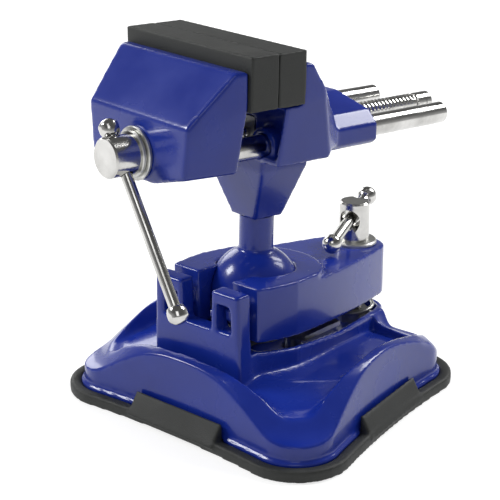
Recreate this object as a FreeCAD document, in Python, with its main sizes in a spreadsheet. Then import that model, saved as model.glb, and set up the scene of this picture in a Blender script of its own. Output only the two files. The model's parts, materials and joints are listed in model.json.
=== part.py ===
import FreeCAD, Part
import math
import os
import re
import Sketcher

V = FreeCAD.Vector
doc = FreeCAD.newDocument("suction_vise")
sheet = doc.addObject("Spreadsheet::Sheet", "Sizes")

# Driving dimensions, in millimetres and degrees. The frame stands on the bench under the
# middle of the foot: X runs along the jaws, Y along the lead screw to the back, Z up.
# Pieces above the ball are drawn from the ball's centre and then turned with the head.
sizes = {
    # rubber foot and cast base
    "foot_front": 45.4, "foot_back": 31.7, "foot_deep": 40.5, "foot_round": 21.6,
    "foot_bow": 400.0, "foot_thick": 4.5, "foot_recess": 3.0,
    "shell_round": 15.6, "shell_low": 3.05, "bead_out": 1.4, "bead_tall": 2.0,
    "bell_top": 30.0, "bell_flat_r": 47.5, "bell_turn_r": 57.4, "bell_turn_z": 25.9, "bell_crown": 14.0,
    "bell_foot_r": 67.5, "bell_foot_z": 15.8, "bell_edge_r": 77.5, "bell_edge_z": 11.0, "bell_sweep": 16.7,
    "bell_out": 90.0, "valley_z": 17.4, "valley_in": 9.5, "valley_slope": 24.2,
    "skirt_r": 44.0, "skirt_z": 23.0, "skirt_end_r": 62.5,
    "dip_front_y": -45.6, "dip_front_z": 24.2, "dip_mid_y": 10.0, "dip_mid_z": 19.6,
    "dip_back_y": 36.0, "dip_back_z": 16.4, "dip_end_y": 60.0, "dip_end_z": 11.2,
    "chamber_r": 40.0, "chamber_top": 11.5, "under_wall": 3.2, "under_top": 8.2,
    "tab_front_half": 22.2, "tab_top": 10.4, "tab_reach": 5.9, "tab_gap": 0.3, "tab_thick": 1.2,
    "tab_side_y": 5.0, "tab_side_half": 21.0,
    # front column with its two posts
    "column_half": 22.5, "column_top_half": 21.1, "column_y": 45.2,
    "post_top": 56.8, "post_deep": 6.9, "gap_half": 7.7, "gap_floor": 41.0,
    "window_in": 10.0, "window_wide": 6.6, "window_low": 41.5, "window_high": 51.7,
    # trough under the clamp body
    "trough_wall": 2.8, "rim_front": 32.2, "rim_back": 20.6, "rim_front_y": -36.0, "rim_back_y": 62.0,
    "rim_mid": 24.0, "rim_mid_y": 18.0, "trough_low": 11.0, "trough_floor": 15.0,
    # plan of the clamp body, shared with the trough
    "leaf_front_y": 34.7, "leaf_front_half": 21.6, "leaf_wide_y": 15.5, "leaf_wide_half": 24.8,
    "leaf_front_curve": 90.0, "leaf_side_curve": 420.0, "leaf_tail_x": 12.3, "leaf_tail_y": 52.6,
    "leaf_tail_r": 12.6, "leaf_top_front": 57.5, "leaf_top_back": 50.7, "leaf_back_y": 63.0,
    "leaf_low_front": 36.0, "leaf_low_mid": 30.9, "leaf_low_mid_y": 18.0, "leaf_low_back": 27.3,
    "leaf_step": 2.6, "land_r": 24.3, "land_half": 24.0, "land_y": -5.0, "leaf_wall": 2.6, "roof": 4.0,
    "notch_half": 8.4, "socket_clear": 0.08, "socket_mouth": 14.6,
    "lug_wide": 5.4, "lug_tall": 5.0, "lug_reach": 6.4, "lug_z": 44.4,
    # ball stud and head
    "ball_y": -12.1, "ball_z": 46.3, "ball_r": 17.7, "stem_r": 6.7, "head_turn": 8.11,
    "neck_low": 30.3, "neck_half": 6.9, "neck_mid": 52.2, "neck_top": 58.7, "neck_top_half": 16.6,
    "neck_front": 12.6, "neck_back": 10.3, "spigot_r": 5.0, "spigot_top": 46.0, "spigot_clear": 0.02,
    "seat_r": 12.5, "seat_hole": 8.0, "seat_low": 28.0,
    # clamp screw at the back
    "clamp_y": 50.0, "clamp_r": 4.0, "clamp_hole": 4.5, "clamp_low": 12.5, "tee_r": 6.3,
    "tee_low": 50.7, "tee_top": 67.2, "tee_hole_r": 3.7, "tee_flare_r": 5.0, "tee_hole_z": 61.6,
    "clamp_washer_r": 9.4, "clamp_washer_low": 49.3,
    "bar_r": 2.35, "bar_ball_r": 4.0, "bar_near": 23.6, "bar_far": 13.9,
    "bar_lean": 15.5,
    "spring_r": 8.4, "spring_wire": 1.6, "spring_low": 16.0, "spring_tall": 27.0, "spring_turns": 5.5,
    "clamp_nut_half": 6.0, "clamp_nut_tall": 5.0, "thread_clear": 0.05,
    # suction lever and stud
    "lever_low": 26.1, "lever_thick": 1.8, "lever_half": 6.0, "lever_wide": 18.0, "lever_wing_y": -3.0,
    "lever_wing_long": 22.0, "lever_front": -31.0, "lever_end": 34.0,
    "pin_y": -28.0, "pin_r": 1.8, "pin_half": 21.6, "pin_z": 27.0, "eye_r": 3.4,
    "stud_y": 11.0, "stud_r": 3.5, "stud_top": 33.5, "disc_r": 30.0, "disc_thick": 1.5,
    "stud_nut_half": 5.0, "stud_nut_tall": 4.0, "stud_clear": 0.4,
    # jaws
    "pad_half": 36.0, "pad_thick": 12.6, "pad_low": 81.1, "pad_top": 100.5, "seam_y": -22.4,
    "tongue_half": 28.0, "tongue_deep": 4.0, "tongue_low": 85.0, "tongue_tall": 6.0, "tongue_clear": 0.05,
    "jaw_top": 95.3, "jaw_low": 58.5, "jaw_keel": 53.4, "keel_half": 9.0,
    "jaw_half": 34.8, "jaw_half_low": 30.0, "jaw_mid_z": 82.0,
    "front_flat": 4.8, "front_flat_half": 33.6, "front_face": 57.0, "front_face_half": 28.6,
    "front_face_low": 27.0, "front_slope_z": 77.0,
    "front_core_half": 11.0, "front_core_low": 55.4, "front_core_top": 76.0, "front_wall": 6.0,
    "rear_lip_y": -17.2, "rear_low": 57.8, "rear_wall": 1.5, "rear_back_y": -5.0, "rear_back_z": 94.6,
    "rear_bend_y": 6.8, "rear_bend_z": 77.4, "rear_foot_y": 11.0, "rear_foot_z": 73.4,
    "rear_end_y": 15.8, "rear_end_z": 66.0, "rear_core_deep": 8.0, "rear_step_y": 9.8, "rear_step_z": 60.2,
    "sleeve_end": 36.4, "sleeve_half": 26.5, "sleeve_low": 58.0, "sleeve_side": 66.0,
    "sleeve_shoulder": 21.5, "sleeve_shoulder_z": 70.8, "sleeve_ridge": 75.0,
    "rod_boss_r": 6.8, "rod_boss_long": 5.5, "tail_y": 8.0, "tail_in": 4.4,
    # guide rods and lead screw
    "rod_x": 18.9, "rod_z": 63.2, "rod_r": 4.25, "rod_front": 50.0, "rod_back": 79.2, "rod_clear": 0.05,
    "screw_z": 62.9, "screw_r": 4.0, "screw_clear": 0.5, "boss_r": 7.4, "boss_front": 70.5,
    "boss_back": 60.0, "thread_end": 81.5, "screw_neck_r": 3.4, "screw_end": 91.0,
    "washer_r": 9.8, "washer_thick": 1.4, "collar_r": 8.4, "face_gap": 0.05,
    "clip_r": 6.9, "clip_thick": 1.2, "clip_groove_r": 3.2, "end_r": 4.0, "end_low": 82.3,
    "nut_half": 8.0, "nut_thick": 9.0,
    # handle
    "handle_y": 64.4, "handle_turn": 34.9, "handle_r": 2.1, "handle_hole_r": 2.5,
    "handle_up": 10.7, "handle_down": 59.8, "knob_r": 3.7, "knob_neck_r": 2.9, "knob_long": 6.4,
    "rod_pin_r": 1.5, "rod_pin_y": 44.0, "rod_pin_low": 57.6, "rod_pin_top": 69.5,
    "neck_pin_r": 1.6, "neck_pin_z": 39.0,
}
for row, (name, size) in enumerate(sizes.items(), start=1):
    sheet.set("A%d" % row, name)
    sheet.set("B%d" % row, str(size))
    sheet.setAlias("B%d" % row, name)
doc.recompute()

functions = {"sin", "cos", "tan", "sqrt", "atan", "abs", "min", "max", "asin", "acos"}


def bound(text):
    """Write a formula on size names the way the document reads it."""
    swap = lambda found: found.group(0) if found.group(0) in functions else "Sizes." + found.group(0)
    return re.sub(r"[A-Za-z_]\w*", swap, str(text))


def size(text):
    """The number that a formula on size names gives now."""
    return float(sheet.evalExpression(bound(text)))


def new_body(name):
    body = doc.addObject("PartDesign::Body", name)
    body.Label = name
    return body


def new_sketch(body, name, plane, away="0"):
    sketch = body.newObject("Sketcher::SketchObject", body.Name + "_" + name)
    role = plane + "_Plane"
    base = [item for item in body.Origin.OriginFeatures if item.Role == role][0]
    sketch.AttachmentSupport = (base, [""])
    sketch.MapMode = "FlatFace"
    if away != "0":
        sketch.setExpression("AttachmentOffset.Base.z", bound(away))
    return sketch


def hold(sketch, geometry, place, x, y):
    """Hold one point of the sketch at a place given by two formulas."""
    for kind, text in (("DistanceX", x), ("DistanceY", y)):
        index = sketch.addConstraint(Sketcher.Constraint(kind, -1, 1, geometry, place, size(text)))
        sketch.setExpression("Constraints[%d]" % index, bound(text))


def arc_between(a, b, radius, side):
    """The arc from a to b that bulges to the left (side 1) or right (side -1) of the way."""
    middle = (a + b) * 0.5
    way = b - a
    half = way.Length / 2.0
    across = V(-way.y, way.x, 0).normalize()
    depth = math.sqrt(max(radius * radius - half * half, 0.0))
    centre = middle - across * side * depth
    return centre, Part.Arc(a, centre + across * side * radius, b).toShape().Curve


def outline(body, name, plane, points, away="0"):
    """Closed sketch: each point is (x, y), or (x, y, radius, side) where an arc leaves it."""
    sketch = new_sketch(body, name, plane, away)
    places = [V(size(p[0]), size(p[1]), 0) for p in points]
    count = len(points)
    starts = []
    ends = []
    for i, point in enumerate(points):
        a = places[i]
        b = places[(i + 1) % count]
        if len(point) == 2:
            index = sketch.addGeometry(Part.LineSegment(a, b), False)
            starts.append((index, 1))
            ends.append((index, 2))
            continue
        radius = size(point[2])
        centre, curve = arc_between(a, b, radius, point[3])
        first = math.atan2(a.y - centre.y, a.x - centre.x)
        last = math.atan2(b.y - centre.y, b.x - centre.x)
        turned = point[3] < 0
        circle = Part.Circle(centre, V(0, 0, 1), radius)
        if turned:
            index = sketch.addGeometry(Part.ArcOfCircle(circle, first, last), False)
            starts.append((index, 1))
            ends.append((index, 2))
        else:
            index = sketch.addGeometry(Part.ArcOfCircle(circle, last, first), False)
            starts.append((index, 2))
            ends.append((index, 1))
        held = sketch.addConstraint(Sketcher.Constraint("Radius", index, radius))
        sketch.setExpression("Constraints[%d]" % held, bound(point[2]))
    for i in range(count):
        after = starts[(i + 1) % count]
        sketch.addConstraint(Sketcher.Constraint("Coincident", ends[i][0], ends[i][1], after[0], after[1]))
    for i, point in enumerate(points):
        hold(sketch, starts[i][0], starts[i][1], point[0], point[1])
    return sketch


def circles(body, name, plane, rings, away="0"):
    """Sketch of whole circles, each given as (x, y, radius)."""
    sketch = new_sketch(body, name, plane, away)
    for x, y, radius in rings:
        circle = Part.Circle(V(size(x), size(y), 0), V(0, 0, 1), size(radius))
        index = sketch.addGeometry(circle, False)
        hold(sketch, index, 3, x, y)
        held = sketch.addConstraint(Sketcher.Constraint("Radius", index, size(radius)))
        sketch.setExpression("Constraints[%d]" % held, bound(radius))
    return sketch


def swept(body, kind, sketch, length, middle=False, reverse=False, taper=None):
    feature = body.newObject("PartDesign::" + kind, sketch.Name + "_" + kind.lower())
    feature.Profile = sketch
    feature.setExpression("Length", bound(length))
    feature.Midplane = middle
    feature.Reversed = reverse
    if taper:
        feature.setExpression("TaperAngle", bound(taper))
    sketch.Visibility = False
    return feature


def pad(body, sketch, length, **how):
    return swept(body, "Pad", sketch, length, **how)


def pocket(body, sketch, length, **how):
    """Cut the sketch out, and say so if nothing went."""
    doc.recompute()
    before = body.Shape.Volume
    feature = swept(body, "Pocket", sketch, length, **how)
    doc.recompute()
    if body.Shape.Volume > before - 0.01:
        print("cuts nothing:", feature.Name)
    return feature


def turned(body, kind, sketch, axis):
    feature = body.newObject("PartDesign::" + kind, sketch.Name + "_" + kind.lower())
    feature.Profile = sketch
    feature.ReferenceAxis = (sketch, [axis])
    feature.Angle = 360
    return feature


def eased(body, kind, amount, wanted):
    """Fillet or chamfer the edges that the test picks."""
    doc.recompute()
    tip = body.Tip
    picked = ["Edge%d" % (i + 1) for i, edge in enumerate(tip.Shape.Edges) if wanted(edge)]
    feature = body.newObject("PartDesign::" + kind, "%s_%s%d" % (body.Name, kind.lower(), len(body.Group)))
    feature.Base = (tip, picked)
    feature.setExpression("Radius" if kind == "Fillet" else "Size", bound(amount))
    doc.recompute()
    return feature


def both_sides(half, close=()):
    """Add the left half to an outline whose right half runs from bottom to top."""
    left = []
    for i in range(len(half) - 1, -1, -1):
        arc = half[i - 1][2:] if i else close
        left.append(("-(%s)" % half[i][0], half[i][1]) + tuple(arc))
    return list(half) + left


def frame_in(sketch):
    """Add a wide square around a sketch, so that a pocket keeps only what is inside it."""
    corners = [V(-130, -130, 0), V(130, -130, 0), V(130, 130, 0), V(-130, 130, 0)]
    first = len(sketch.Geometry)
    for i in range(4):
        sketch.addGeometry(Part.LineSegment(corners[i], corners[(i + 1) % 4]), False)
    for i in range(4):
        after = first + (i + 1) % 4
        sketch.addConstraint(Sketcher.Constraint("Coincident", first + i, 2, after, 1))
        sketch.addConstraint(Sketcher.Constraint("DistanceX", -1, 1, first + i, 1, corners[i].x))
        sketch.addConstraint(Sketcher.Constraint("DistanceY", -1, 1, first + i, 1, corners[i].y))


def place(body, x="0", y="0", z="0", axis=None, angle=None):
    """Stand a body by formulas for its place and its turn about one axis."""
    turn = FreeCAD.Rotation(axis, size(angle)) if axis else FreeCAD.Rotation()
    body.Placement = FreeCAD.Placement(V(size(x), size(y), size(z)), turn)
    for letter, text in (("x", x), ("y", y), ("z", z)):
        body.setExpression("Placement.Base." + letter, bound(text))
    if axis:
        body.setExpression("Placement.Rotation.Angle", bound(angle))


def on_head(body):
    """Stand a piece drawn from the ball's centre on the head, turned and leaning a little."""
    place(body, "0", "ball_y", "ball_z", V(-0.2265, 0.0156, -0.9739), "head_turn")


def spun(body, name, points, kind="Revolution", x="0", plane="YZ"):
    """Turn a closed outline about the upright line at one place along the sketch's level axis."""
    sketch = outline(body, name, plane, points)
    low = sketch.addGeometry(Part.LineSegment(V(size(x), -20, 0), V(size(x), 120, 0)), True)
    hold(sketch, low, 1, x, "-20")
    hold(sketch, low, 2, x, "120")
    return turned(body, kind, sketch, "Axis0")


def rolled(body, name, points, level="0", kind="Revolution"):
    """Turn a closed outline, given as (y, height), about a level line along Y."""
    sketch = outline(body, name, "YZ", points)
    line = sketch.addGeometry(Part.LineSegment(V(-120, size(level), 0), V(120, size(level), 0)), True)
    hold(sketch, line, 1, "-120", level)
    hold(sketch, line, 2, "120", level)
    return turned(body, kind, sketch, "Axis0")


def loft(body, *sketches):
    feature = body.newObject("PartDesign::AdditiveLoft", sketches[0].Name + "_loft")
    feature.Profile = sketches[0]
    feature.Sections = list(sketches[1:])
    feature.Ruled = True
    return feature


# Outline of the foot: four round corners joined by edges that bow inwards.
tilt_x = "cos(atan((foot_front - foot_back) / (2 * foot_deep)))"
tilt_y = "sin(atan((foot_front - foot_back) / (2 * foot_deep)))"


def foot(radius):
    corner = (radius, -1)
    bow = ("foot_bow", 1)
    half = [
        ("foot_front", "-foot_deep - (%s)" % radius) + corner,
        ("foot_front + (%s) * %s" % (radius, tilt_x), "-foot_deep + (%s) * %s" % (radius, tilt_y)) + bow,
        ("foot_back + (%s) * %s" % (radius, tilt_x), "foot_deep + (%s) * %s" % (radius, tilt_y)) + corner,
        ("foot_back", "foot_deep + (%s)" % radius) + bow,
    ]
    return both_sides(half, bow)


def leaf(inset):
    """Teardrop plan of the clamp body, or of the same shape drawn in by a wall."""
    front = "-leaf_front_y + (%s)" % inset
    half = [
        ("leaf_front_half - (%s)" % inset, front, "leaf_front_curve", -1),
        ("leaf_wide_half - (%s)" % inset, "-leaf_wide_y", "leaf_side_curve", -1),
        ("leaf_tail_x - (%s)" % inset, "leaf_tail_y", "leaf_tail_r - (%s)" % inset, -1),
    ]
    return both_sides(half)


def side_x(y, extra):
    """Formula for the base's right wall at one place along Y, measured on the straight chord."""
    slope = "(foot_front - foot_back) / (2 * foot_deep)"
    return "(foot_front + foot_back) / 2 + (shell_round + (%s)) / %s - (%s) * %s" % (extra, tilt_x, y, slope)


# Rubber foot
foot_pad = new_body("suction_pad")
pad(foot_pad, outline(foot_pad, "plate", "XY", foot("foot_round")), "foot_thick")
recess = outline(foot_pad, "recess", "XY", foot("shell_round + bead_out + tab_gap"), "foot_thick")
pocket(foot_pad, recess, "foot_thick - foot_recess")
front_wall = "foot_deep + shell_round - 1.7"
front_low = [
    ("-tab_front_half", "-(%s) - tab_reach - tab_thick" % front_wall),
    ("tab_front_half", "-(%s) - tab_reach - tab_thick" % front_wall),
    ("tab_front_half", "-(%s) - tab_gap" % front_wall),
    ("-tab_front_half", "-(%s) - tab_gap" % front_wall),
]
front_high = list(front_low)
front_high[0] = ("-tab_front_half", "-(%s) - tab_gap - tab_thick" % front_wall)
front_high[1] = ("tab_front_half", "-(%s) - tab_gap - tab_thick" % front_wall)
loft(
    foot_pad,
    outline(foot_pad, "tab_low", "XY", front_low, "foot_recess - 0.5"),
    outline(foot_pad, "tab_high", "XY", front_high, "tab_top"),
)
tab_cuts = (
    ("low", "tab_reach - 1.0", "foot_recess - 0.5"),
    ("high", "-1.4 + tab_gap + tab_thick", "tab_top"),
)
for side, sign in (("right", ""), ("left", "-")):
    sections = []
    for name, outer, level in tab_cuts:
        near_y = "tab_side_y - tab_side_half"
        far_y = "tab_side_y + tab_side_half"
        corners = [(side_x(near_y, "-1.4 + tab_gap"), near_y), (side_x(near_y, outer), near_y)]
        corners += [(side_x(far_y, outer), far_y), (side_x(far_y, "-1.4 + tab_gap"), far_y)]
        corners = [("%s(%s)" % (sign, x), y) for x, y in corners]
        sections.append(outline(foot_pad, side + "_tab_" + name, "XY", corners, level))
    loft(foot_pad, *sections)

# Base casting: a low bell cut by the foot's outline, with a valley behind each arch
base = new_body("base_casting")
bell = [("0", "shell_low"), ("bell_out", "shell_low"), ("bell_out", "bell_edge_z - 0.8")]
bell += [("bell_edge_r", "bell_edge_z", "bell_sweep", 1), ("bell_foot_r", "bell_foot_z")]
bell += [("bell_turn_r", "bell_turn_z", "bell_crown", -1), ("bell_flat_r", "bell_top"), ("0", "bell_top")]
turned(base, "Revolution", outline(base, "bell", "XZ", bell), "V_Axis")
valley = outline(base, "valley", "XY", foot("shell_round - valley_in"), "valley_z")
pocket(base, valley, "40 - valley_z", reverse=True, taper="valley_slope")
skirt = [("0", "chamber_top"), ("skirt_end_r", "chamber_top"), ("skirt_end_r", "valley_z - 0.5")]
skirt += [("skirt_r", "skirt_z"), ("0", "skirt_z + 0.6")]
turned(base, "Revolution", outline(base, "skirt", "XZ", skirt), "V_Axis")
around = outline(base, "around", "XY", foot("shell_round"), "40")
frame_in(around)
pocket(base, around, "38")
dip = new_body("valley_dip")
pad(dip, outline(dip, "plan", "XY", foot("shell_round - valley_in - 0.3"), "9"), "40")
under_dip = [("-90", "0"), ("90", "0"), ("90", "dip_end_z"), ("dip_end_y", "dip_end_z")]
under_dip += [("dip_back_y", "dip_back_z"), ("dip_mid_y", "dip_mid_z")]
under_dip += [("dip_front_y", "dip_front_z"), ("-90", "dip_front_z + 8")]
pocket(dip, outline(dip, "floor", "YZ", under_dip), "200", middle=True)
cut = base.newObject("PartDesign::Boolean", "base_dip")
cut.Type = "Cut"
cut.setObjects([dip])
pad(base, outline(base, "bead", "XY", foot("shell_round + bead_out"), "shell_low"), "bead_tall")
notch = [
    ("-tab_front_half - tab_gap", "-(%s) - 9" % front_wall),
    ("tab_front_half + tab_gap", "-(%s) - 9" % front_wall),
    ("tab_front_half + tab_gap", "-(%s)" % front_wall),
    ("-tab_front_half - tab_gap", "-(%s)" % front_wall),
]
pocket(base, outline(base, "front_notch", "XY", notch, "bead_tall + shell_low + 0.5"), "5")
for side, sign in (("right", ""), ("left", "-")):
    low_y = "tab_side_y - tab_side_half - tab_gap"
    high_y = "tab_side_y + tab_side_half + tab_gap"
    corners = [(side_x(low_y, "-1.4"), low_y), (side_x(low_y, "9"), low_y)]
    corners += [(side_x(high_y, "9"), high_y), (side_x(high_y, "-1.4"), high_y)]
    corners = [("%s(%s)" % (sign, x), y) for x, y in corners]
    pocket(base, outline(base, side + "_notch", "XY", corners, "bead_tall + shell_low + 0.5"), "5")
column = both_sides([("column_half", "12"), ("column_top_half", "post_top")])
pad(base, outline(base, "column", "XZ", column, "column_y - post_deep"), "post_deep")
gap = both_sides([("gap_half - 0.4", "gap_floor"), ("gap_half", "post_top + 5")])
pocket(base, outline(base, "gap", "XZ", gap, "column_y + 1"), "20")
for side, sign in (("right", ""), ("left", "-")):
    corners = [("window_in", "window_low"), ("window_in + window_wide + 0.8", "window_low")]
    corners += [("window_in + window_wide", "window_high"), ("window_in", "window_high")]
    corners = [("%s(%s)" % (sign, x), y) for x, y in corners]
    pocket(base, outline(base, side + "_window", "XZ", corners, "column_y + 1"), "20")
pad(base, outline(base, "trough", "XY", leaf("0"), "trough_low"), "rim_front - trough_low")
slope = [("rim_front_y", "rim_front"), ("rim_mid_y", "rim_mid"), ("rim_back_y", "rim_back")]
slope += [("rim_back_y + 20", "rim_back"), ("rim_back_y + 20", "80")]
slope += [("rim_front_y - 1.9", "80"), ("rim_front_y - 1.9", "rim_front")]
pocket(base, outline(base, "rim", "YZ", slope), "80", middle=True)
filler = both_sides([("column_half - 0.6", "12"), ("column_half - 0.8", "rim_front")])
pad(base, outline(base, "filler", "XZ", filler, "leaf_front_y - 1"), "column_y - leaf_front_y")
pocket(base, outline(base, "inside", "XY", leaf("trough_wall"), "70"), "70 - trough_floor")
under = outline(base, "under", "XY", foot("shell_round - under_wall"), "shell_low - 1")
pocket(base, under, "under_top - shell_low + 1", reverse=True)
pocket(base, circles(base, "chamber", "XY", [("0", "0", "chamber_r")], "1"), "chamber_top - 1", reverse=True)
stud_hole = circles(base, "stud_hole", "XY", [("0", "stud_y", "stud_r + stud_clear")], "1")
pocket(base, stud_hole, "20", reverse=True)
screw_hole = circles(base, "screw_hole", "XY", [("0", "clamp_y + 0.4", "clamp_r + 1.2")], "70")
pocket(base, screw_hole, "70 - clamp_low + 1")
pin_hole = circles(base, "pin_hole", "YZ", [("pin_y", "pin_z", "pin_r + 0.03")])
pocket(base, pin_hole, "2 * pin_half + 0.4", middle=True)

# Clamp body: teardrop lid, hollow below, that closes on the ball
lid = new_body("clamp_body")
block = both_sides([("30", "-leaf_front_y"), ("30", "70")])
pad(lid, outline(lid, "block", "XY", block, "leaf_low_back"), "leaf_top_front - leaf_low_back")
above = [("-60", "leaf_top_front - leaf_step"), ("-leaf_front_y", "leaf_top_front - leaf_step")]
above += [("leaf_back_y", "leaf_top_back - leaf_step"), ("90", "leaf_top_back - leaf_step - 2")]
above += [("90", "80"), ("-60", "80")]
pocket(lid, outline(lid, "above", "YZ", above), "80", middle=True)
land = [("land_half", "land_y", "land_r", -1), ("-land_half", "land_y"), ("-30", "land_y")]
land += [("-30", "-leaf_front_y"), ("30", "-leaf_front_y"), ("30", "land_y")]
pad(lid, outline(lid, "land", "XY", land, "leaf_low_back + 5"), "leaf_top_front - leaf_low_back - 5")
above = [("-60", "leaf_top_front"), ("-leaf_front_y", "leaf_top_front"), ("leaf_back_y", "leaf_top_back")]
above += [("90", "leaf_top_back"), ("90", "80"), ("-60", "80")]
pocket(lid, outline(lid, "land_top", "YZ", above), "80", middle=True)
beneath = [("-60", "20"), ("90", "20"), ("90", "leaf_low_back"), ("leaf_back_y - 4", "leaf_low_back")]
beneath += [("leaf_low_mid_y", "leaf_low_mid"), ("-leaf_front_y", "leaf_low_front")]
beneath.append(("-60", "leaf_low_front"))
pocket(lid, outline(lid, "beneath", "YZ", beneath), "80", middle=True)
plan = outline(lid, "plan", "XY", leaf("0"), "80")
frame_in(plan)
pocket(lid, plan, "60")
hollow = [("leaf_wide_half - leaf_wall - 2.4", "land_y + 8")]
hollow.append(("leaf_tail_x - leaf_wall", "leaf_tail_y", "leaf_tail_r - leaf_wall", -1))
hollow = both_sides(hollow)
cavity = outline(lid, "hollow", "XY", hollow, "20")
pocket(lid, cavity, "leaf_top_back - leaf_step - roof - 20", reverse=True)
pad(lid, circles(lid, "screw_boss", "XY", [("0", "clamp_y", "clamp_hole + 2.6")], "40"), "7")
bore = "ball_r + socket_clear"
top_z = "ball_z + sqrt((%s) * (%s) - socket_mouth * socket_mouth)" % (bore, bore)
cup = [("ball_y", "20"), ("ball_y + %s + 0.9" % bore, "20")]
cup.append(("ball_y + %s" % bore, "ball_z", bore, -1))
cup += [("ball_y + socket_mouth", top_z), ("ball_y + socket_mouth + 1.5", "70"), ("ball_y", "70")]
spun(lid, "socket", cup, "Groove", "ball_y")
notch = both_sides([("notch_half", "-leaf_front_y - 5"), ("notch_half", "ball_y")])
pocket(lid, outline(lid, "notch", "XY", notch, "80"), "60")
for side, sign in (("right", ""), ("left", "-")):
    corners = [("window_in + 0.6", "lug_z"), ("window_in + 0.6 + lug_wide", "lug_z")]
    corners += [("window_in + 0.6 + lug_wide", "lug_z + lug_tall"), ("window_in + 0.6", "lug_z + lug_tall")]
    corners = [("%s(%s)" % (sign, x), y) for x, y in corners]
    pad(lid, outline(lid, side + "_lug", "XZ", corners, "leaf_front_y - 2"), "lug_reach + 2")
screw_way = circles(lid, "screw_way", "XY", [("0", "clamp_y", "clamp_hole")], "80")
pocket(lid, screw_way, "60")
spot = circles(lid, "spot", "XY", [("0", "clamp_y", "clamp_washer_r + 0.4")], "80")
pocket(lid, spot, "80 - clamp_washer_low")

# Ball stud, drawn from its own centre
stud = new_body("ball_stud")
neck_z = "sqrt(ball_r * ball_r - stem_r * stem_r)"
ball = [("0", "-ball_r", "ball_r", -1), ("stem_r", neck_z), ("stem_r", "neck_low - 0.02")]
ball += [("spigot_r", "neck_low - 0.02"), ("spigot_r", "spigot_top"), ("0", "spigot_top")]
turned(stud, "Revolution", outline(stud, "ball", "XZ", ball), "V_Axis")
neck_now = size(neck_z)
eased(stud, "Fillet", "2.2", lambda e: abs(e.BoundBox.ZMin - neck_now) < 0.01 and e.BoundBox.ZLength < 0.01)
cross = circles(stud, "cross", "XZ", [("0", "neck_pin_z", "neck_pin_r + 0.02")], "3")
pocket(stud, cross, "30")
on_head(stud)
seat = new_body("ball_seat")
round_r = "ball_r + 0.05"
inner = "ball_z - sqrt((%s) * (%s) - seat_hole * seat_hole)" % (round_r, round_r)
outer = "ball_z - sqrt((%s) * (%s) - seat_r * seat_r)" % (round_r, round_r)
ring = [("ball_y + seat_hole", "seat_low"), ("ball_y + seat_r", "seat_low")]
ring += [("ball_y + seat_r", outer, round_r, 1), ("ball_y + seat_hole", inner)]
spun(seat, "ring", ring, "Revolution", "ball_y")

# Clamp screw with its head, washer, bar, spring and nut
screw = new_body("clamp_screw")
shank = [("clamp_y", "clamp_low"), ("clamp_y + clamp_r - 0.8", "clamp_low")]
shank += [("clamp_y + clamp_r", "clamp_low + 0.8"), ("clamp_y + clamp_r", "tee_low")]
shank += [("clamp_y + tee_r", "tee_low"), ("clamp_y + tee_r", "tee_top - 0.7")]
shank += [("clamp_y + tee_r - 0.7", "tee_top"), ("clamp_y", "tee_top")]
spun(screw, "shank", shank, "Revolution", "clamp_y")
washer = new_body("clamp_washer")
ring = [("clamp_y + clamp_r + 0.2", "clamp_washer_low"), ("clamp_y + clamp_washer_r", "clamp_washer_low")]
ring += [("clamp_y + clamp_washer_r", "tee_low - 0.5"), ("clamp_y + clamp_washer_r - 0.5", "tee_low")]
ring += [("clamp_y + clamp_r + 0.2", "tee_low")]
spun(washer, "ring", ring, "Revolution", "clamp_y")
nut = new_body("clamp_nut")
flats = []
for k in range(6):
    angle = "%d" % (60 * k + 30)
    across = "clamp_nut_half / cos(30)"
    flats.append(("%s * cos(%s)" % (across, angle), "clamp_y + %s * sin(%s)" % (across, angle)))
pad(nut, outline(nut, "flats", "XY", flats, "trough_floor"), "clamp_nut_tall")
thread = circles(nut, "thread", "XY", [("0", "clamp_y", "clamp_r + thread_clear")], "10")
pocket(nut, thread, "30", reverse=True)

# The clamp screw's head is bored across, a little turned from the vise's middle line
bore_line = V(-0.2543, 0.9295, 0.2672)
cutter = screw.newObject("PartDesign::SubtractiveCylinder", "clamp_screw_bore")
cutter.setExpression("Radius", bound("tee_hole_r"))
cutter.Height = 40
turn = FreeCAD.Rotation(V(0, 0, 1), bore_line)
cutter.Placement = FreeCAD.Placement(V(0, size("clamp_y"), size("tee_hole_z")) - bore_line * 20, turn)
cutter.setExpression("Placement.Base.y", bound("clamp_y - 18.59"))
cutter.setExpression("Placement.Base.z", bound("tee_hole_z - 5.344"))
for name, way in (("near", -1), ("far", 1)):
    flare = screw.newObject("PartDesign::SubtractiveCone", "clamp_screw_flare_" + name)
    flare.setExpression("Radius1", bound("tee_hole_r - 0.4"))
    flare.setExpression("Radius2", bound("tee_flare_r + 0.4"))
    flare.Height = 4.8
    line = bore_line * way
    start = V(0, size("clamp_y"), size("tee_hole_z")) + line * 2.4
    flare.Placement = FreeCAD.Placement(start, FreeCAD.Rotation(V(0, 0, 1), line))
    flare.setExpression("Placement.Base.y", bound("clamp_y + %.5f" % (line.y * 2.4)))
    flare.setExpression("Placement.Base.z", bound("tee_hole_z + %.5f" % (line.z * 2.4)))

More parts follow.
